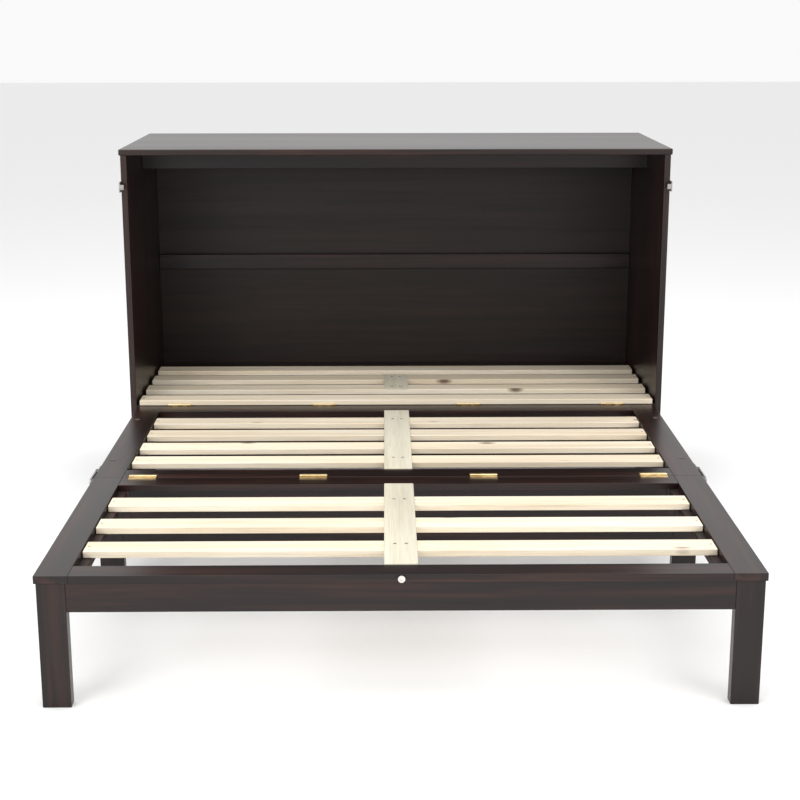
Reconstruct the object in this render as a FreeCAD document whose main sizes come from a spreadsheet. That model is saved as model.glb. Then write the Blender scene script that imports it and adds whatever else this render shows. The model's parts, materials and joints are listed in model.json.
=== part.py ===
import FreeCAD, Part

# Cabinet bed: a shallow open cabinet holds the rear third of a slatted bed deck.
# The middle third is hinged to the cabinet's front line and folds up against it.
# The front third is hinged to the middle third and folds back over it.
# Frame: millimetres, X across, +Y towards the back of the cabinet, +Z up,
# origin on the floor under the middle of the opened bed.

import os

from FreeCAD import Placement, Rotation, Vector

doc = FreeCAD.newDocument("cabinet_bed")
X_AXIS = Vector(1, 0, 0)
Y_AXIS = Vector(0, 1, 0)
SIDES = (("left", -1), ("right", 1))

# ---------------------------------------------------------------- driving dimensions

DIMENSIONS = (
    # cabinet
    ("cabinet_width", "1640", "outside of the side panels"),
    ("cabinet_depth", "632", "front edge to back edge of the side panels"),
    ("cabinet_height", "1095", "floor to top face"),
    ("panel_thick", "18", "side panels and top board"),
    ("back_thick", "12", "back panel"),
    ("back_inset", "8", "back edge of the side panels to the back panel"),
    ("top_overhang", "5", "top board past each side panel"),
    ("glide_height", "6", "glides under the side panels"),
    ("glide_radius", "14", "glides under the side panels"),
    ("stretcher_height", "68", "stretcher under the top board"),
    ("stretcher_inset", "300", "front edge of the cabinet to the stretcher"),
    ("shelf_height", "50", "mid-height back rail"),
    ("shelf_depth", "18", "mid-height back rail"),
    ("shelf_level", "690", "floor to the top of the back rail"),
    ("apron_height", "150", "sill apron under the rear deck"),
    # bed deck
    ("bed_top", "310", "floor to the top of the rails"),
    ("side_gap", "5", "folded front section to each side panel"),
    ("rail_width", "75", "side rails"),
    ("rail_thick", "18", "all rails"),
    ("cross_width", "68", "cross rails at the hinge lines"),
    ("foot_width", "64", "foot rail"),
    ("middle_length", "758", "hinge line to hinge line"),
    ("front_length", "731", "hinge line to the foot"),
    ("butt_gap", "0.3", "between the butt faces of two sections"),
    ("slat_width", "68", "all slats"),
    ("slat_thick", "16", "all slats"),
    ("slat_drop", "2", "slat tops below the rail tops"),
    ("slat_end_gap", "2", "slat end to the side rail"),
    ("cleat_width", "28", "side cleats"),
    ("cleat_height", "18", "side cleats"),
    ("cleat_lap", "6", "side cleat under the side rail"),
    ("rear_slat_pitch", "135", "front edge to front edge of the rear slats"),
    ("rear_slat_gap", "8", "rear slat end to the side panel"),
    ("rear_slat_set", "4.5", "cabinet front to the first rear slat"),
    ("rear_cleat_width", "40", "side supports of the rear slats"),
    ("rear_cleat_height", "30", "side supports of the rear slats"),
    ("board_width", "75", "centre boards"),
    ("board_proud", "2.5", "centre boards above the rail tops"),
    # hinges
    ("hinge_length", "71", "deck butt hinges"),
    ("hinge_outer", "669", "centre line to the outer hinges"),
    ("hinge_inner", "223", "centre line to the inner hinges"),
    ("axis_lift", "3.2", "pin axis off the face that carries the leaves"),
    ("knuckle_radius", "3", "hinge knuckles"),
    ("pin_radius", "1.5", "hinge pins"),
    ("pin_clear", "0.05", "running clearance round a pin"),
    ("knuckle_gap", "0.4", "between neighbouring knuckles"),
    ("leaf_thick", "2", "hinge leaves"),
    ("leaf_width", "22", "pin axis to the leaf edge"),
    ("screw_radius", "2", "screw holes in the leaves"),
    ("leg_hinge_length", "50", "leg hinges"),
    # legs
    ("leg_width", "64", "all legs"),
    ("leg_depth", "31", "all legs"),
    ("leg_inset", "4", "rail edge to leg"),
    ("leg_top_gap", "0.3", "leg top to rail underside"),
    ("frame_board", "18", "leg panel and foot apron"),
    ("panel_bottom", "92", "floor to the middle leg panel"),
    ("foot_apron_height", "67", "apron between the foot legs"),
    ("middle_leg_set", "8", "front hinge line to the middle legs"),
    ("block_width", "22", "corner blocks on the leg panel"),
    ("block_height", "112", "corner blocks on the leg panel"),
    ("block_proud", "3", "corner blocks off the leg panel"),
    # fittings
    ("knob_radius", "8", "pull knob disc"),
    ("knob_length", "12", "pull knob projection"),
    ("plug_radius", "8", "caps in the middle side rails"),
    ("plug_inset", "22", "rail edge to the caps"),
    ("plug_end", "165", "rail end to the caps"),
    ("latch_set", "86", "front hinge line to the latch pivot"),
    ("latch_reach", "98", "latch pivot to the lever tip centre"),
    ("latch_half", "7", "half height of the latch lever"),
    ("latch_thick", "4", "latch lever"),
    ("latch_plate", "3", "latch base and keeper plates"),
    ("latch_standoff", "4.8", "rail side to the latch lever"),
    ("latch_pin", "3", "latch pivot radius"),
    ("keeper_nub", "1.2", "keeper nub off its plate"),
    ("catch_plate", "3", "catch plates on the cabinet"),
    ("catch_height", "30", "catch plates on the cabinet"),
    ("catch_back", "30", "catch plate along the side panel"),
    ("catch_front", "23", "catch plate in front of the side panel"),
    ("catch_nub", "11", "catch nub towards the middle"),
)

sheet = doc.addObject("Spreadsheet::Sheet", "sizes")
for row, (alias, value, meaning) in enumerate(DIMENSIONS, start=1):
    sheet.set(f"A{row}", meaning)
    sheet.set(f"B{row}", value)
    sheet.setAlias(f"B{row}", alias)

# Places worked out from the driving dimensions.
DERIVED = (
    ("front_y", "(middle_length + front_length + knob_length - cabinet_depth) / 2"),
    ("fold_y", "front_y - middle_length"),
    ("foot_y", "fold_y - front_length"),
    ("back_y", "front_y + cabinet_depth"),
    ("half_cabinet", "cabinet_width / 2"),
    ("half_inside", "half_cabinet - panel_thick"),
    ("half_bed", "half_inside - side_gap"),
    ("half_open", "half_bed - rail_width"),
    ("rail_under", "bed_top - rail_thick"),
    ("axis_z", "bed_top + axis_lift"),
    ("leg_axis_z", "rail_under - axis_lift"),
    ("slat_length", "2 * (half_open - slat_end_gap)"),
    ("slat_z", "bed_top - slat_drop - slat_thick"),
    ("back_face_y", "back_y - back_inset - back_thick"),
    ("leg_half", "half_bed - leg_inset - leg_width"),
    ("leg_length", "rail_under - leg_top_gap"),
    ("middle_leg_y", "fold_y + middle_leg_set"),
    ("foot_leg_y", "foot_y + leg_inset"),
    ("middle_leg_axis_y", "middle_leg_y + leg_depth + axis_lift"),
    ("foot_leg_axis_y", "foot_leg_y + leg_depth + axis_lift"),
    ("latch_y", "fold_y + latch_set"),
    ("latch_z", "bed_top - rail_thick / 2"),
    ("catch_z", "axis_z + middle_length - latch_set"),
    ("cleat_x", "half_open + cleat_lap - cleat_width"),
)
first_row = len(DIMENSIONS) + 2
known = [alias for alias, _, _ in DIMENSIONS]
for row, (alias, formula) in enumerate(DERIVED, start=first_row):
    sheet.set(f"B{row}", "=" + formula)
    sheet.setAlias(f"B{row}", alias)
    known.append(alias)
doc.recompute()


def bound(formula):
    """An expression whose words are the aliases of the sizes sheet."""
    words = []
    word = ""
    for letter in formula + " ":
        if letter.isalnum() or letter in "_.":
            word += letter
            continue
        words.append("sizes." + word if word in known else word)
        words.append(letter)
        word = ""
    return "".join(words).strip()


def bind(item, **formulas):
    for prop, formula in formulas.items():
        item.setExpression(prop, bound(formula))


def put(item, x="0", y="0", z="0"):
    item.setExpression("Placement.Base.x", bound(x))
    item.setExpression("Placement.Base.y", bound(y))
    item.setExpression("Placement.Base.z", bound(z))


def turn(item, axis, angle):
    item.Placement = Placement(item.Placement.Base, Rotation(axis, angle))


# ---------------------------------------------------------------- building blocks

subparts = []


def keep(item, node):
    item.Label = node
    subparts.append(item)
    return item


def box(name, size, place):
    item = doc.addObject("Part::Box", name)
    bind(item, Length=size[0], Width=size[1], Height=size[2])
    put(item, *place)
    return item


def rod(name, radius, length, place, axis=None):
    """A cylinder along Z, or along X where axis is "x", or along Y where it is "y"."""
    item = doc.addObject("Part::Cylinder", name)
    bind(item, Radius=radius, Height=length)
    if axis == "x":
        turn(item, Y_AXIS, 90)
    if axis == "y":
        turn(item, X_AXIS, 90)
    put(item, *place)
    return item


def eased(blank, name, radius):
    """The blank with all its edges rounded."""
    doc.recompute()
    item = doc.addObject("Part::Fillet", name)
    item.Base = blank
    item.Edges = [(edge + 1, radius, radius) for edge in range(len(blank.Shape.Edges))]
    return item


def board(node, size, place, ease=1.0):
    """A board with eased edges, as one sub-part."""
    return keep(eased(box(node + "_blank", size, place), node + "_eased", ease), node)


def cut(name, base, tools):
    tool = tools[0]
    if len(tools) > 1:
        tool = doc.addObject("Part::MultiFuse", name + "_tools")
        tool.Shapes = tools
    item = doc.addObject("Part::Cut", name)
    item.Base = base
    item.Tool = tool
    return item


def fuse(name, shapes):
    item = doc.addObject("Part::MultiFuse", name)
    item.Shapes = shapes
    return item


def group(node, items):
    """Identical loose pieces that share one node."""
    item = doc.addObject("Part::Compound", node)
    item.Links = items
    return keep(item, node)


def crossed(sign, near, width):
    """Low X of a piece whose near face is `near` from the centre plane."""
    return near if sign > 0 else f"-({near}) - ({width})"


# ---------------------------------------------------------------- slatted sections


def side_rails(section, y, length):
    for side, sign in SIDES:
        board(
            f"{section}_side_rail_{side}",
            ("rail_width", length, "rail_thick"),
            (crossed(sign, "half_open", "rail_width"), y, "rail_under"),
        )


def cross_rail(node, y, width):
    board(node, ("2 * half_open", width, "rail_thick"), ("-half_open", y, "rail_under"))


def cleats(section, y, length):
    pieces = []
    for side, sign in SIDES:
        blank = box(
            f"{section}_cleat_{side}_blank",
            ("cleat_width", length, "cleat_height"),
            (crossed(sign, "cleat_x", "cleat_width"), y, "rail_under - cleat_height"),
        )
        pieces.append(eased(blank, f"{section}_cleat_{side}", 1.0))
    group(f"{section}_cleats", pieces)


def slats(section, count, low_y, high_y):
    """Slats spaced evenly, with the same gap at both ends."""
    gap = f"((({high_y}) - ({low_y}) - {count} * slat_width) / {count + 1})"
    for index in range(count):
        y = f"({low_y}) + {index + 1} * {gap} + {index} * slat_width"
        board(
            f"{section}_slat_{index + 1}",
            ("slat_length", "slat_width", "slat_thick"),
            ("-slat_length / 2", y, "slat_z"),
            ease=2.0,
        )


def center_board(section, y, length):
    board(
        f"{section}_center_board",
        ("board_width", length, "slat_drop + board_proud"),
        ("-board_width / 2", y, "bed_top - slat_drop"),
        ease=1.5,
    )


# ---------------------------------------------------------------- butt hinges


def leaf(name, length, side, own, running):
    """One hinge leaf round a pin on the local X axis, lying under it on side +Y or -Y.

    The hinge has five knuckles; own lists the ones that belong to this leaf.
    """
    pitch = f"(({length}) / 5)"
    tab = "knuckle_radius + 0.6"
    low = "0" if side > 0 else f"-({tab})"
    solids = [
        box(
            name + "_plate",
            (length, f"leaf_width - ({tab})", "leaf_thick"),
            (f"-({length}) / 2", tab if side > 0 else "-leaf_width", "-axis_lift"),
        )
    ]
    for index in own:
        start = f"-({length}) / 2 + {index} * {pitch} + knuckle_gap / 2"
        width = f"{pitch} - knuckle_gap"
        solids.append(rod(f"{name}_knuckle_{index}", "knuckle_radius", width, (start, "0", "0"), "x"))
        solids.append(box(f"{name}_tab_{index}", (width, tab, "leaf_thick"), (start, low, "-axis_lift")))
    hole_radius = "pin_radius + pin_clear" if running else "pin_radius"
    tools = [rod(name + "_bore", hole_radius, f"{length} + 4", (f"-({length}) / 2 - 2", "0", "0"), "x")]
    for index in (0, 1, 2):
        x = f"({index} - 1) * 0.34 * ({length})"
        y = "0.62 * leaf_width" if side > 0 else "-0.62 * leaf_width"
        tools.append(rod(f"{name}_hole_{index}", "screw_radius", "leaf_thick + 2", (x, y, "-axis_lift - 1")))
    return cut(name, fuse(name + "_body", solids), tools)


THREE = (0, 2, 4)
TWO = (1, 3)
HINGE_PLACES = ("-hinge_outer", "-hinge_inner", "hinge_inner", "hinge_outer")


def deck_leaves(node, y, side, own, running, upright=False):
    """Four leaves on the rail tops, or upright between two butt faces."""
    pieces = []
    for index, x in enumerate(HINGE_PLACES):
        piece = leaf(f"{node}_{index}", "hinge_length", side, own, running)
        if upright:
            turn(piece, X_AXIS, -90 * side)
        put(piece, x, y, "axis_z")
        pieces.append(piece)
    group(node, pieces)


def leg_leaves(node, y, on_leg):
    """Leaves of the two leg hinges: under the rail, or on the back of the leg."""
    pieces = []
    for side, sign in SIDES:
        name = f"{node}_{side}"
        if on_leg:
            piece = leaf(name, "leg_hinge_length", 1, TWO, True)
            turn(piece, X_AXIS, -90)
        else:
            piece = leaf(name, "leg_hinge_length", -1, THREE, False)
            turn(piece, X_AXIS, 180)
        put(piece, f"{sign} * (leg_half + leg_width / 2)", y, "leg_axis_z")
        pieces.append(piece)
        if not on_leg:
            x = f"{sign} * (leg_half + leg_width / 2) - leg_hinge_length / 2 + knuckle_gap"
            pin_length = "leg_hinge_length - 2 * knuckle_gap"
            pieces.append(rod(f"{name}_pin", "pin_radius", pin_length, (x, y, "leg_axis_z"), "x"))
    group(node, pieces)


# ---------------------------------------------------------------- leg frames


def legs(frame, y):
    for side, sign in SIDES:
        board(
            f"{frame}_leg_{side}",
            ("leg_width", "leg_depth", "leg_length"),
            (crossed(sign, "leg_half", "leg_width"), y, "0"),
            ease=2.0,
        )


# ---------------------------------------------------------------- cabinet

for side, sign in SIDES:
    board(
        f"side_panel_{side}",
        ("panel_thick", "cabinet_depth", "cabinet_height - panel_thick - glide_height"),
        (crossed(sign, "half_inside", "panel_thick"), "front_y", "glide_height"),
    )
board(
    "cabinet_top",
    ("cabinet_width + 2 * top_overhang", "cabinet_depth", "panel_thick"),
    ("-half_cabinet - top_overhang", "front_y", "cabinet_height - panel_thick"),
    ease=3.0,
)
board(
    "back_panel",
    ("2 * half_inside", "back_thick", "cabinet_height - panel_thick - 2 * glide_height"),
    ("-half_inside", "back_face_y", "2 * glide_height"),
    ease=0.5,
)
board(
    "top_stretcher",
    ("2 * half_inside", "panel_thick", "stretcher_height"),
    ("-half_inside", "front_y + stretcher_inset", "cabinet_height - panel_thick - stretcher_height"),
    ease=2.0,
)
board(
    "mid_back_rail",
    ("2 * half_inside", "shelf_depth", "shelf_height"),
    ("-half_inside", "back_face_y - shelf_depth", "shelf_level - shelf_height"),
    ease=2.0,
)
board(
    "sill_apron",
    ("2 * half_inside", "panel_thick", "apron_height"),
    ("-half_inside", "front_y + axis_lift", "rail_under - apron_height"),
)
board(
    "rear_front_rail",
    ("2 * half_inside", "cross_width", "rail_thick"),
    ("-half_inside", "front_y + axis_lift", "rail_under"),
)
board(
    "rear_back_rail",
    ("2 * half_inside", "foot_width", "rail_thick"),
    ("-half_inside", "back_face_y - foot_width", "rail_under"),
)
deck_low = "front_y + axis_lift + cross_width"
deck_high = "back_face_y - foot_width"
pieces = []
for side, sign in SIDES:
    blank = box(
        f"rear_cleat_{side}_blank",
        ("rear_cleat_width", f"({deck_high}) - ({deck_low})", "rear_cleat_height"),
        (
            crossed(sign, "half_inside - rear_cleat_width", "rear_cleat_width"),
            deck_low,
            "bed_top - rear_cleat_height",
        ),
    )
    pieces.append(eased(blank, f"rear_cleat_{side}", 1.0))
group("rear_cleats", pieces)

# The rear slats lie on the rear frame, and the short board lies on two of them.
for index in range(4):
    board(
        f"rear_slat_{index + 1}",
        ("2 * (half_inside - rear_slat_gap)", "slat_width", "slat_thick"),
        ("rear_slat_gap - half_inside", f"front_y + rear_slat_set + {index} * rear_slat_pitch", "bed_top"),
        ease=2.0,
    )
board(
    "rear_center_board",
    ("board_width", "rear_slat_pitch + slat_width", "board_proud"),
    ("-board_width / 2", "front_y + rear_slat_set + rear_slat_pitch", "bed_top + slat_thick"),
    ease=1.0,
)

glides = []
for side, sign in SIDES:
    for end, y in (("front", "front_y + 40"), ("back", "back_y - 40")):
        glides.append(
            rod(
                f"glide_{side}_{end}",
                "panel_thick / 2 - 1",
                "glide_height",
                (f"{sign} * (half_cabinet - panel_thick / 2)", y, "0"),
            )
        )
group("cabinet_glides", glides)

catches = []
for side, sign in SIDES:
    plate = box(
        f"catch_plate_{side}",
        ("catch_plate", "catch_back + catch_front", "catch_height"),
        (crossed(sign, "half_cabinet", "catch_plate"), "front_y - catch_front", "catch_z - catch_height / 2"),
    )
    nub = box(
        f"catch_nub_{side}",
        ("catch_nub + 1", "6", "catch_height / 2"),
        (
            crossed(sign, "half_cabinet - catch_nub", "catch_nub + 1"),
            "front_y - catch_front",
            "catch_z - catch_height / 4",
        ),
    )
    holes = []
    for index in (-1, 1):
        z = f"catch_z + {index} * catch_height / 4"
        low = f"{sign} * (half_cabinet + catch_plate / 2) - catch_plate"
        name = f"catch_hole_{side}_{index + 1}"
        holes.append(rod(name, "screw_radius", "2 * catch_plate", (low, "front_y + catch_back / 2", z), "x"))
    catches.append(cut(f"catch_{side}", fuse(f"catch_body_{side}", [plate, nub]), holes))
group("latch_catches", catches)
deck_leaves("cabinet_hinge_leaves", "front_y", -1, THREE, True, upright=True)

# ---------------------------------------------------------------- middle section

# The deck hinges stand upright in the gap to the cabinet, so the section stops short of it.
middle_low = "fold_y + butt_gap / 2"
middle_high = "front_y - axis_lift"
side_rails("middle", middle_low, "middle_length - axis_lift - butt_gap / 2")
cross_rail("middle_front_rail", middle_low, "cross_width")
cross_rail("middle_rear_rail", f"{middle_high} - cross_width", "cross_width")
cleats("middle", "middle_leg_axis_y + leaf_width", "middle_length - 2 * cross_width")
slats("middle", 4, "fold_y + cross_width", f"{middle_high} - cross_width")
center_board(
    "middle",
    f"{middle_low} + cross_width",
    "middle_length - axis_lift - butt_gap / 2 - 2 * cross_width",
)
deck_leaves("middle_rear_leaves", "front_y", 1, TWO, False, upright=True)
deck_leaves("middle_front_leaves", "fold_y", 1, THREE, False)
pins = []
for line, y in (("deck", "front_y"), ("fold", "fold_y")):
    for index, x in enumerate(HINGE_PLACES):
        low = f"{x} - hinge_length / 2 - 0.5"
        pins.append(rod(f"{line}_pin_{index}", "pin_radius", "hinge_length + 1", (low, y, "axis_z"), "x"))
group("deck_hinge_pins", pins)

plugs = []
for side, sign in SIDES:
    for end, y in (("front", "fold_y + plug_end"), ("rear", "front_y - plug_end")):
        x = f"{sign} * (half_bed - plug_inset)"
        plugs.append(rod(f"plug_{side}_{end}", "plug_radius", "0.8", (x, y, "bed_top")))
group("rail_caps", plugs)

bases = []
for side, sign in SIDES:
    plate = box(
        f"latch_plate_{side}",
        ("latch_plate", "56", "rail_thick - 4"),
        (crossed(sign, "half_bed", "latch_plate"), "latch_y - 28", "rail_under + 2"),
    )
    boss_low = crossed(sign, "half_bed + latch_plate", "latch_standoff - latch_plate - 0.2")
    boss = rod(
        f"latch_boss_{side}",
        "latch_half - 1",
        "latch_standoff - latch_plate - 0.2",
        (boss_low, "latch_y", "latch_z"),
        "x",
    )
    pin_low = crossed(sign, "half_bed + 1", "latch_standoff + latch_thick")
    pin_place = (pin_low, "latch_y", "latch_z")
    pin = rod(f"latch_pin_{side}", "latch_pin", "latch_standoff + latch_thick", pin_place, "x")
    head_low = crossed(sign, "half_bed + latch_standoff + latch_thick + 0.2", "1.8")
    head = rod(f"latch_head_{side}", "latch_half - 1", "1.8", (head_low, "latch_y", "latch_z"), "x")
    bases.append(fuse(f"latch_base_{side}", [plate, boss, pin, head]))
group("latch_bases", bases)
leg_leaves("middle_leg_hinges", "middle_leg_axis_y", False)

# ---------------------------------------------------------------- front section

front_span = "front_length - butt_gap / 2"
side_rails("front", "foot_y", front_span)
cross_rail("foot_rail", "foot_y", "foot_width")
cross_rail("front_rear_rail", "fold_y - butt_gap / 2 - cross_width", "cross_width")
cleats(
    "front",
    "foot_leg_axis_y + leaf_width",
    "front_length - cross_width - foot_width",
)
slats("front", 3, "foot_y + foot_width", "fold_y - cross_width")
center_board("front", "foot_y + foot_width", "front_length - butt_gap / 2 - foot_width - cross_width")
deck_leaves("front_hinge_leaves", "fold_y", -1, TWO, True)
leg_leaves("foot_leg_hinges", "foot_leg_axis_y", False)

# The knob is a turned piece: a stem, a round disc and a dimple in its face.
knob_z = "bed_top - rail_thick / 3"
stem = rod("knob_stem", "0.45 * knob_radius", "knob_length - 3", ("0", "foot_y", knob_z), "y")
disc = rod("knob_disc", "knob_radius", "5", ("0", "foot_y - knob_length + 5", knob_z), "y")
dimple = rod("knob_dimple", "0.35 * knob_radius", "3", ("0", "foot_y - knob_length + 1.5", knob_z), "y")
keep(cut("pull_knob_turned", fuse("knob_body", [stem, disc]), [dimple]), "pull_knob")

keepers = []
for side, sign in SIDES:
    plate = box(
        f"keeper_plate_{side}",
        ("latch_plate", "34", "rail_thick - 4"),
        (crossed(sign, "half_bed", "latch_plate"), "fold_y - 38", "rail_under + 2"),
    )
    nub = rod(
        f"keeper_nub_{side}",
        "4",
        "keeper_nub + 1",
        (crossed(sign, "half_bed + latch_plate - 1", "keeper_nub + 1"), "fold_y - 12", "latch_z"),
        "x",
    )
    keepers.append(fuse(f"keeper_{side}", [plate, nub]))
group("latch_keepers", keepers)

# ---------------------------------------------------------------- leg frames

legs("middle", "middle_leg_y")
board(
    "middle_leg_panel",
    ("2 * leg_half", "frame_board", "leg_length - panel_bottom"),
    ("-leg_half", "middle_leg_y", "panel_bottom"),
    ease=1.5,
)
blocks = []
for side, sign in SIDES:
    blank = box(
        f"block_blank_{side}",
        ("block_width", "block_proud", "block_height"),
        (
            crossed(sign, "leg_half - block_width", "block_width"),
            "middle_leg_y - block_proud",
            "leg_length - block_height",
        ),
    )
    blocks.append(eased(blank, f"block_{side}", 0.8))
group("middle_leg_blocks", blocks)
leg_leaves("middle_leg_leaves", "middle_leg_axis_y", True)

legs("foot", "foot_leg_y")
board(
    "foot_apron",
    ("2 * leg_half", "frame_board", "foot_apron_height"),
    ("-leg_half", "foot_leg_y", "leg_length - foot_apron_height"),
    ease=1.5,
)
leg_leaves("foot_leg_leaves", "foot_leg_axis_y", True)

# ---------------------------------------------------------------- latch levers

for side, sign in SIDES:
    low = crossed(sign, "half_bed + latch_standoff", "latch_thick")
    bar = box(
        f"lever_bar_{side}",
        ("latch_thick", "latch_reach", "2 * latch_half"),
        (low, "latch_y - latch_reach", "latch_z - latch_half"),
    )
    ends = []
    for end, y in (("tip", "latch_y - latch_reach"), ("eye", "latch_y")):
        ends.append(rod(f"lever_{end}_{side}", "latch_half", "latch_thick", (low, y, "latch_z"), "x"))
    bore_place = (f"{low} - latch_thick", "latch_y", "latch_z")
    bore = rod(f"lever_bore_{side}", "latch_pin + pin_clear", "3 * latch_thick", bore_place, "x")
    lever = cut(f"lever_{side}", fuse(f"lever_body_{side}", [bar] + ends), [bore])
    keep(lever, f"latch_lever_{side}")

# ---------------------------------------------------------------- checks and export

doc.recompute()
for item in doc.Objects:
    if "Invalid" in item.State or "Error" in item.State:
        raise RuntimeError(f"{item.Name} did not build: {item.State}")
for item in subparts:
    if item.Shape.isNull() or not item.Shape.isValid():
        raise RuntimeError(f"{item.Label} has no valid shape")

os.makedirs("parts", exist_ok=True)
for item in subparts:
    item.Shape.exportStep(f"parts/{item.Label}.step")
print(len(subparts), "sub-parts")
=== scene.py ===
import json
import math
import random

import bmesh
import bpy
from mathutils import Matrix, Vector


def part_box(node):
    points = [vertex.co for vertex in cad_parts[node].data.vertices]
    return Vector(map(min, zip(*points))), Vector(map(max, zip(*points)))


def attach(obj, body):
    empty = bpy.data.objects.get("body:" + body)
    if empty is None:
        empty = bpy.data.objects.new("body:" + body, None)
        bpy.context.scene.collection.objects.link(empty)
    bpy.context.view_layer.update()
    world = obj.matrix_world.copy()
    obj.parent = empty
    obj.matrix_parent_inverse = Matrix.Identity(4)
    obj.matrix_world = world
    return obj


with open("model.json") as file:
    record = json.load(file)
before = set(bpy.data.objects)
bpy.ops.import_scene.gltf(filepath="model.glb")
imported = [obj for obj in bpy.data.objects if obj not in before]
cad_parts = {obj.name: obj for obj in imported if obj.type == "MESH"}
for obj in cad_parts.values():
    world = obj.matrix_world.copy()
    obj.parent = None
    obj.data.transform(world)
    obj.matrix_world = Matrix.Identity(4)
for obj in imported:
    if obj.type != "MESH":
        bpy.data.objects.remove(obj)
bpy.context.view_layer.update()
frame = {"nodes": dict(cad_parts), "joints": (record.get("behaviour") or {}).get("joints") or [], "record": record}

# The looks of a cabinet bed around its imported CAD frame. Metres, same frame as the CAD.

random.seed(4)
scene = bpy.context.scene
nodes = frame["nodes"]
joints = {joint["name"]: joint for joint in frame["joints"]}

# ---------------------------------------------------------------- colours

ESPRESSO_DARK = (0.0045, 0.0020, 0.0017)
ESPRESSO_MID = (0.0125, 0.0050, 0.0038)
ESPRESSO_STREAK = (0.040, 0.0135, 0.0085)
BACK_DARK = (0.0075, 0.0042, 0.0033)
BACK_MID = (0.0150, 0.0082, 0.0062)
BACK_STREAK = (0.0230, 0.0125, 0.0092)
PINE_LIGHT = (0.90, 0.81, 0.665)
PINE_MID = (0.85, 0.735, 0.565)
PINE_STREAK = (0.76, 0.615, 0.43)
PLY_LIGHT = (0.73, 0.685, 0.56)
PLY_MID = (0.68, 0.63, 0.50)
PLY_STREAK = (0.60, 0.545, 0.41)
KNOT = (0.10, 0.045, 0.02)
BRASS = (0.78, 0.62, 0.36)
BRASS_WORN = (0.58, 0.43, 0.22)
STEEL = (0.36, 0.35, 0.34)
STEEL_WORN = (0.20, 0.18, 0.165)
NICKEL = (0.74, 0.71, 0.67)
NICKEL_WORN = (0.58, 0.54, 0.49)
CAP_BROWN = (0.075, 0.045, 0.034)
GLIDE_BLACK = (0.02, 0.02, 0.02)

# ---------------------------------------------------------------- grain and finish

# Texture scales, per metre, across the grain and along it.
GRAIN_ACROSS, GRAIN_ALONG = 34.0, 1.3
BROAD_ACROSS, BROAD_ALONG = 5.0, 0.7
FIBRE_ACROSS, FIBRE_ALONG = 420.0, 9.0
KNOT_ACROSS, KNOT_ALONG = 9.0, 3.4
KNOT_CORE, KNOT_EDGE = 0.045, 0.11
GRAIN_SHIFT = 20
GRAIN_WANDER = 0.55
FIBRE_DEPTH = 0.0006
LACQUER_ROUGHNESS = 0.22
WOOD_SPECULAR = 0.32
BRUSH_SCALE, BRUSH_ALONG_SHARE = 120.0, 0.15
TARNISH_SCALE = 30.0
BRUSH_DEPTH = 0.0003
PEBBLE_SCALE = 300.0
PEBBLE_DEPTH = 0.0004
ORIGIN = (0.0, 0.0, 0.0)

# ---------------------------------------------------------------- materials


class Graph:
    """A short way to make shader nodes and join them."""

    def __init__(self, name):
        self.material = bpy.data.materials.new(name)
        self.material.use_nodes = True
        self.tree = self.material.node_tree
        self.shader = self.tree.nodes["Principled BSDF"]

    def node(self, kind, **inputs):
        made = self.tree.nodes.new(kind)
        for key, value in inputs.items():
            self.feed(made, key.replace("_", " "), value)
        return made

    def feed(self, node, socket, value):
        if isinstance(value, bpy.types.NodeSocket):
            self.tree.links.new(value, node.inputs[socket])
        else:
            node.inputs[socket].default_value = value

    def coordinates(self, scale, offset):
        where = self.node("ShaderNodeTexCoord")
        mapping = self.node("ShaderNodeMapping", Vector=where.outputs["Object"])
        mapping.inputs["Scale"].default_value = scale
        mapping.inputs["Location"].default_value = offset
        return mapping.outputs["Vector"]

    def ramp(self, factor, stops):
        made = self.node("ShaderNodeValToRGB", Fac=factor)
        elements = made.color_ramp.elements
        while len(elements) < len(stops):
            elements.new(0.5)
        for element, (place, colour) in zip(elements, stops):
            element.position = place
            element.color = (*colour, 1.0)
        return made.outputs["Color"]

    def mix(self, factor, first, second, blend="MIX"):
        made = self.node("ShaderNodeMixRGB", Fac=factor, Color1=first, Color2=second)
        made.blend_type = blend
        return made.outputs["Color"]

    def span(self, value, low, high):
        made = self.node("ShaderNodeMapRange", Value=value)
        made.inputs["To Min"].default_value = low
        made.inputs["To Max"].default_value = high
        return made.outputs["Result"]

    def bump(self, height, strength, distance):
        made = self.node("ShaderNodeBump", Height=height, Strength=strength, Distance=distance)
        self.feed(self.shader, "Normal", made.outputs["Normal"])


def grey(level):
    return (level, level, level)


def stretched(across, along_scale, along):
    """Texture scales that are small along one axis, so that a texture runs that way."""
    scale = [across] * 3
    scale[along] = along_scale
    return scale


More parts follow.
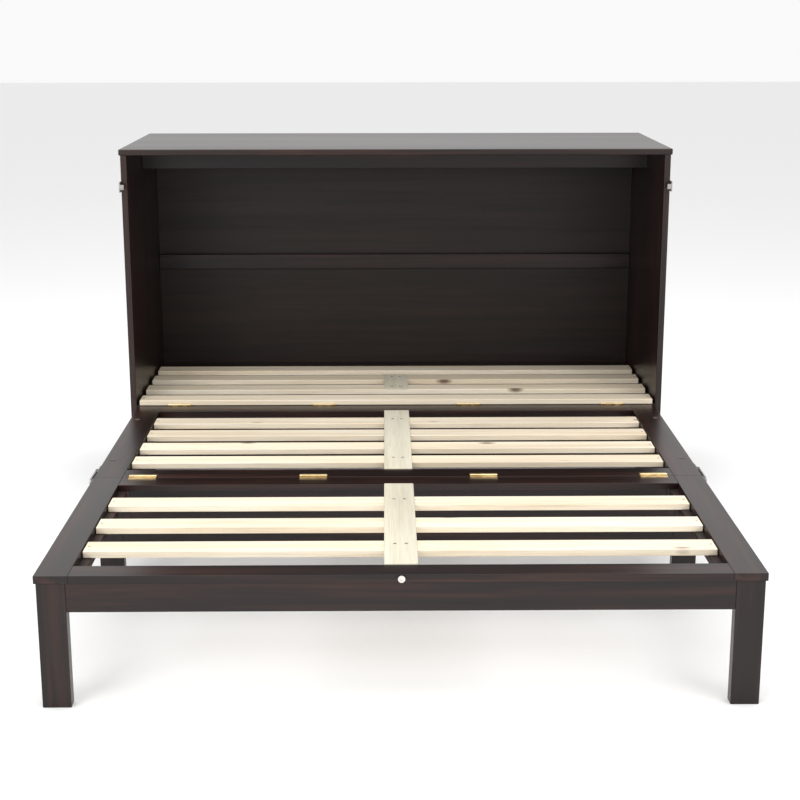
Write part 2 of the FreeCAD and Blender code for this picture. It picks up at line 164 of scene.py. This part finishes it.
def wood(name, along, colours, rough, coat=0.0, knots=0.0, relief=0.10):
    """Wood with its grain along the axis number `along`, at a place of its own in the grain."""
    graph = Graph(name)
    shift = tuple(random.uniform(-GRAIN_SHIFT, GRAIN_SHIFT) for _ in range(3))
    dark, mid, streak = colours

    grain_at = graph.coordinates(stretched(GRAIN_ACROSS, GRAIN_ALONG, along), shift)
    grain = graph.node("ShaderNodeTexNoise", Vector=grain_at, Scale=1.0, Detail=7.0, Roughness=0.62)
    grain.inputs["Distortion"].default_value = GRAIN_WANDER
    colour = graph.ramp(grain.outputs["Fac"], ((0.32, dark), (0.50, mid), (0.70, streak)))

    broad_at = graph.coordinates(stretched(BROAD_ACROSS, BROAD_ALONG, along), shift)
    broad = graph.node("ShaderNodeTexNoise", Vector=broad_at, Scale=1.0, Detail=2.0)
    shade = graph.ramp(broad.outputs["Fac"], ((0.30, grey(0.74)), (0.70, grey(1.0))))
    colour = graph.mix(0.85, colour, shade, "MULTIPLY")

    fibre_at = graph.coordinates(stretched(FIBRE_ACROSS, FIBRE_ALONG, along), shift)
    fibre = graph.node("ShaderNodeTexNoise", Vector=fibre_at, Scale=1.0, Detail=3.0)
    fibre_shade = graph.ramp(fibre.outputs["Fac"], ((0.35, grey(0.80)), (0.60, grey(1.0))))
    colour = graph.mix(0.55, colour, fibre_shade, "MULTIPLY")

    if knots:
        knot_at = graph.coordinates(stretched(KNOT_ACROSS, KNOT_ALONG, along), shift)
        cells = graph.node("ShaderNodeTexVoronoi", Vector=knot_at, Scale=1.0)
        spot = graph.ramp(cells.outputs["Distance"], ((KNOT_CORE, grey(1.0)), (KNOT_EDGE, grey(0.0))))
        colour = graph.mix(graph.span(spot, 0.0, knots), colour, (*KNOT, 1.0))

    graph.feed(graph.shader, "Base Color", colour)
    roughness = graph.span(broad.outputs["Fac"], rough - 0.05, rough + 0.08)
    graph.feed(graph.shader, "Roughness", roughness)
    graph.shader.inputs["Coat Weight"].default_value = coat
    graph.shader.inputs["Coat Roughness"].default_value = LACQUER_ROUGHNESS
    graph.shader.inputs["Specular IOR Level"].default_value = WOOD_SPECULAR
    graph.bump(fibre.outputs["Fac"], relief, FIBRE_DEPTH)
    return graph.material


def metal(name, clean, worn, rough):
    """Metal with fine scratches along Y and a patchy tarnish."""
    graph = Graph(name)
    scratch_at = graph.coordinates(stretched(BRUSH_SCALE, BRUSH_SCALE * BRUSH_ALONG_SHARE, 1), ORIGIN)
    scratch = graph.node("ShaderNodeTexNoise", Vector=scratch_at, Scale=6.0, Detail=4.0)
    patch_at = graph.coordinates((TARNISH_SCALE,) * 3, ORIGIN)
    patch = graph.node("ShaderNodeTexNoise", Vector=patch_at, Scale=1.0)
    colour = graph.ramp(patch.outputs["Fac"], ((0.35, worn), (0.62, clean)))
    graph.feed(graph.shader, "Base Color", colour)
    graph.shader.inputs["Metallic"].default_value = 1.0
    roughness = graph.span(scratch.outputs["Fac"], rough - 0.08, rough + 0.14)
    graph.feed(graph.shader, "Roughness", roughness)
    graph.bump(scratch.outputs["Fac"], 0.08, BRUSH_DEPTH)
    return graph.material


def plastic(name, colour, rough):
    """Moulded plastic with a fine pebbled face."""
    graph = Graph(name)
    pebble_at = graph.coordinates((PEBBLE_SCALE,) * 3, ORIGIN)
    pebble = graph.node("ShaderNodeTexNoise", Vector=pebble_at, Scale=3.0, Detail=3.0)
    lighter = tuple(1.5 * part for part in colour)
    shade = graph.ramp(pebble.outputs["Fac"], ((0.3, colour), (0.7, lighter)))
    graph.feed(graph.shader, "Base Color", shade)
    graph.feed(graph.shader, "Roughness", graph.span(pebble.outputs["Fac"], rough, rough + 0.15))
    graph.bump(pebble.outputs["Fac"], 0.15, PEBBLE_DEPTH)
    return graph.material


ESPRESSO = (ESPRESSO_DARK, ESPRESSO_MID, ESPRESSO_STREAK)
BACK = (BACK_DARK, BACK_MID, BACK_STREAK)
PINE = (PINE_LIGHT, PINE_MID, PINE_STREAK)
PLY = (PLY_LIGHT, PLY_MID, PLY_STREAK)

brass = metal("brass", BRASS, BRASS_WORN, 0.30)
steel = metal("latch_steel", STEEL, STEEL_WORN, 0.38)
nickel = metal("knob_nickel", NICKEL, NICKEL_WORN, 0.18)
screw_steel = metal("screw_steel", STEEL, STEEL_WORN, 0.34)
cap_plastic = plastic("cap_plastic", CAP_BROWN, 0.42)
glide_plastic = plastic("glide_plastic", GLIDE_BLACK, 0.45)


def long_axis(node):
    low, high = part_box(node)
    extent = high - low
    return max(range(3), key=lambda axis: extent[axis])


def dress(node, slot):
    """The finish of one CAD node, with its own stretch of grain where it is wood."""
    along = long_axis(node)
    if slot == "espresso_wood":
        return wood(f"{node}_wood", along, ESPRESSO, 0.32, coat=0.12, relief=0.05)
    if slot == "back_board":
        return wood(f"{node}_wood", along, BACK, 0.40, relief=0.05)
    if slot == "pine_slats":
        return wood(f"{node}_wood", along, PINE, 0.55, knots=0.9, relief=0.22)
    if slot == "centre_ply":
        return wood(f"{node}_wood", along, PLY, 0.60, relief=0.22)
    if slot == "pine_cleats":
        return wood(f"{node}_wood", 1, ESPRESSO, 0.50, relief=0.16)
    return {
        "brass_hinges": brass,
        "latch_steel": steel,
        "knob_nickel": nickel,
        "caps": cap_plastic,
        "glides": glide_plastic,
    }[slot]


for subpart in frame["record"]["subparts"]:
    node = nodes[subpart["node"]]
    node.data.materials.clear()
    node.data.materials.append(dress(subpart["node"], subpart["material_slot"]))

# ---------------------------------------------------------------- screw heads

HEAD_TURNS = 20
HEAD_RINGS = 5
RECESS_SHARE = 0.62
RECESS_ARM = 0.8
RECESS_DEPTH_SHARE = 0.9
HEAD_SKIRT = 0.0006
SCREW_DOME = 0.0007
UP = (0, 0, 1)
BACK_OUT = (0, 1, 0)


def add_screw(mesh, centre, radius, normal, dome):
    """A domed head with a cross recess, standing on a face with that normal."""
    turn = Vector((0, 0, 1)).rotation_difference(normal).to_matrix()
    spin = Matrix.Rotation(random.uniform(0, math.pi), 3, "Z")
    rings = []
    for ring in range(HEAD_RINGS):
        share = 1 - ring / HEAD_RINGS
        row = []
        for step in range(HEAD_TURNS):
            angle = 2 * math.pi * step / HEAD_TURNS
            height = dome * math.sqrt(1 - share * share)
            arm = min(abs(math.cos(2 * angle)), 1.0)
            if share < RECESS_SHARE and arm > RECESS_ARM:
                height -= dome * RECESS_DEPTH_SHARE
            out = share * radius
            point = Vector((out * math.cos(angle), out * math.sin(angle), height))
            row.append(mesh.verts.new(centre + turn @ (spin @ point)))
        rings.append(row)
    skirt = []
    for step in range(HEAD_TURNS):
        angle = 2 * math.pi * step / HEAD_TURNS
        point = Vector((radius * math.cos(angle), radius * math.sin(angle), -HEAD_SKIRT))
        skirt.append(mesh.verts.new(centre + turn @ (spin @ point)))
    rings.insert(0, skirt)
    for outer, inner in zip(rings, rings[1:]):
        for step in range(HEAD_TURNS):
            after = (step + 1) % HEAD_TURNS
            mesh.faces.new((outer[step], outer[after], inner[after], inner[step]))
    mesh.faces.new(rings[-1])
    mesh.faces.new(list(reversed(skirt)))


def screws(name, body, material, places, radius, normal, dome=SCREW_DOME):
    """One piece that holds a screw head at each of the places, riding on that body."""
    mesh = bmesh.new()
    for place in places:
        add_screw(mesh, Vector(place), radius, Vector(normal), dome)
    bmesh.ops.recalc_face_normals(mesh, faces=mesh.faces)
    data = bpy.data.meshes.new(name)
    mesh.to_mesh(data)
    mesh.free()
    for polygon in data.polygons:
        polygon.use_smooth = True
    piece = bpy.data.objects.new(name, data)
    scene.collection.objects.link(piece)
    data.materials.append(material)
    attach(piece, body)


HINGE_CENTRES = (-0.669, -0.223, 0.223, 0.669)
HINGE_LENGTH = 0.071
LEAF_WIDTH = 0.022
HINGE_SCREW_STEP = 0.34 * HINGE_LENGTH
HINGE_SCREW_OUT = 0.62 * LEAF_WIDTH
HINGE_SCREW_RADIUS = 0.0034
LEAF_TOP = 0.0012


def hinge_screws(name, body, joint, side):
    """Three screws in each leaf on one side of a hinge line."""
    axis = Vector(joints[joint]["pos_m"])
    y = axis.y + side * HINGE_SCREW_OUT
    places = []
    for centre in HINGE_CENTRES:
        for step in (-1, 0, 1):
            places.append((centre + step * HINGE_SCREW_STEP, y, axis.z - LEAF_TOP))
    screws(name, body, brass, places, HINGE_SCREW_RADIUS, UP)


hinge_screws("fold_hinge_screws_middle", "middle_section", "front_fold", 1)
hinge_screws("fold_hinge_screws_front", "front_section", "front_fold", -1)

BOARD_SCREW_HALF = 0.013
BOARD_SCREW_RADIUS = 0.0042
SLAT_SCREW_IN = 0.009
SLAT_SCREW_RADIUS = 0.003
SLAT_SCREW_DOME = 0.0004


def board_screws(section, body, slats):
    """Two screws through the centre board into each of the named slats."""
    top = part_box(f"{section}_center_board")[1].z
    places = []
    for slat in slats:
        low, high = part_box(f"{section}_slat_{slat}")
        for x in (-BOARD_SCREW_HALF, BOARD_SCREW_HALF):
            places.append((x, (low.y + high.y) / 2, top))
    screws(f"{section}_board_screws", body, screw_steel, places, BOARD_SCREW_RADIUS, UP)


board_screws("rear", "cabinet", (2, 3))
board_screws("middle", "middle_section", (1, 4))
board_screws("front", "front_section", (1, 3))


def slat_screws(section, body, count):
    """A screw near each end of every slat of a section."""
    places = []
    for slat in range(1, count + 1):
        low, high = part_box(f"{section}_slat_{slat}")
        for x in (low.x + SLAT_SCREW_IN, high.x - SLAT_SCREW_IN):
            places.append((x, (low.y + high.y) / 2, high.z))
    name = f"{section}_slat_screws"
    screws(name, body, screw_steel, places, SLAT_SCREW_RADIUS, UP, SLAT_SCREW_DOME)


slat_screws("rear", "cabinet", 4)
slat_screws("middle", "middle_section", 4)
slat_screws("front", "front_section", 3)


BACK_SCREW_EDGE = 0.014
BACK_SCREW_ROWS = 6
BACK_SCREW_COLUMNS = 9
BACK_SCREW_RADIUS = 0.0038
RAIL_HALF = 0.009


def back_screws():
    """Screws round the back panel and into the rails in front of it."""
    low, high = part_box("back_panel")
    bottom, top = low.z + BACK_SCREW_EDGE, high.z - BACK_SCREW_EDGE
    places = []
    for row in range(BACK_SCREW_ROWS):
        z = bottom + (top - bottom) * row / (BACK_SCREW_ROWS - 1)
        for x in (low.x + BACK_SCREW_EDGE, high.x - BACK_SCREW_EDGE):
            places.append((x, high.y, z))
    rail_low, rail_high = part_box("mid_back_rail")
    deck_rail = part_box("rear_back_rail")[0].z + RAIL_HALF
    for z in (top, (rail_low.z + rail_high.z) / 2, deck_rail):
        for column in range(1, BACK_SCREW_COLUMNS):
            places.append((low.x + (high.x - low.x) * column / BACK_SCREW_COLUMNS, high.y, z))
    name = "back_panel_screws"
    screws(name, "cabinet", screw_steel, places, BACK_SCREW_RADIUS, BACK_OUT)


back_screws()


CATCH_SCREW_IN = 0.015
CATCH_SCREW_RADIUS = 0.0036


def catch_screws():
    """Two screws in the outer face of each catch plate."""
    low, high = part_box("latch_catches")
    middle = (low.z + high.z) / 2
    quarter = (high.z - low.z) / 4
    y = high.y - CATCH_SCREW_IN
    for side, x in (("left", low.x), ("right", high.x)):
        normal = (1 if x > 0 else -1, 0, 0)
        places = [(x, y, middle + step * quarter) for step in (-1, 1)]
        name = f"catch_screws_{side}"
        screws(name, "cabinet", screw_steel, places, CATCH_SCREW_RADIUS, normal)


catch_screws()

# ---------------------------------------------------------------- floor, light and camera

FLOOR_SIZE = 60
FLOOR_COLOUR = (0.86, 0.86, 0.86, 1)
WORLD_STRENGTH = 0.95

bpy.ops.mesh.primitive_plane_add(size=FLOOR_SIZE, location=(0, 0, 0))
floor = bpy.context.object
floor.name = "floor"
pale = Graph("pale_floor")
pale.shader.inputs["Base Color"].default_value = FLOOR_COLOUR
pale.shader.inputs["Roughness"].default_value = 0.75
floor.data.materials.append(pale.material)

world = bpy.data.worlds.new("studio")
scene.world = world
world.use_nodes = True
world.node_tree.nodes["Background"].inputs["Color"].default_value = (1, 1, 1, 1)
world.node_tree.nodes["Background"].inputs["Strength"].default_value = WORLD_STRENGTH


def softbox(name, place, aim, width, height, power):
    data = bpy.data.lights.new(name, "AREA")
    data.shape = "RECTANGLE"
    data.size = width
    data.size_y = height
    data.energy = power
    lamp = bpy.data.objects.new(name, data)
    lamp.location = place
    lamp.rotation_euler = (Vector(aim) - Vector(place)).to_track_quat("-Z", "Y").to_euler()
    scene.collection.objects.link(lamp)


softbox("overhead", (0, -0.6, 4.2), (0, -0.2, 0.3), 5.0, 5.0, 150)
softbox("front_left", (-3.2, -4.6, 2.6), (0, 0.3, 0.5), 2.4, 2.4, 90)
softbox("front_right", (3.4, -4.2, 2.4), (0, 0.3, 0.5), 2.4, 2.4, 60)

# The camera stands in front of the cabinet, far enough to see the whole opened bed.
CAMERA_BACK = 4.649
CAMERA_SIDE = -0.0332
CAMERA_HEIGHT = 1.4923
CAMERA_YAW = 0.0098
CAMERA_PITCH = 0.2457
CAMERA_ROLL = 0.0009
CAMERA_LENS = 69.75
camera_data = bpy.data.cameras.new("camera")
camera_data.sensor_width = 36
camera_data.lens = CAMERA_LENS
camera = bpy.data.objects.new("camera", camera_data)
cabinet_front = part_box("side_panel_left")[0].y
camera.location = (CAMERA_SIDE, cabinet_front - CAMERA_BACK, CAMERA_HEIGHT)
camera.rotation_euler = (math.pi / 2 - CAMERA_PITCH, CAMERA_ROLL, -CAMERA_YAW)
scene.collection.objects.link(camera)
scene.camera = camera

scene.view_settings.view_transform = "Standard"
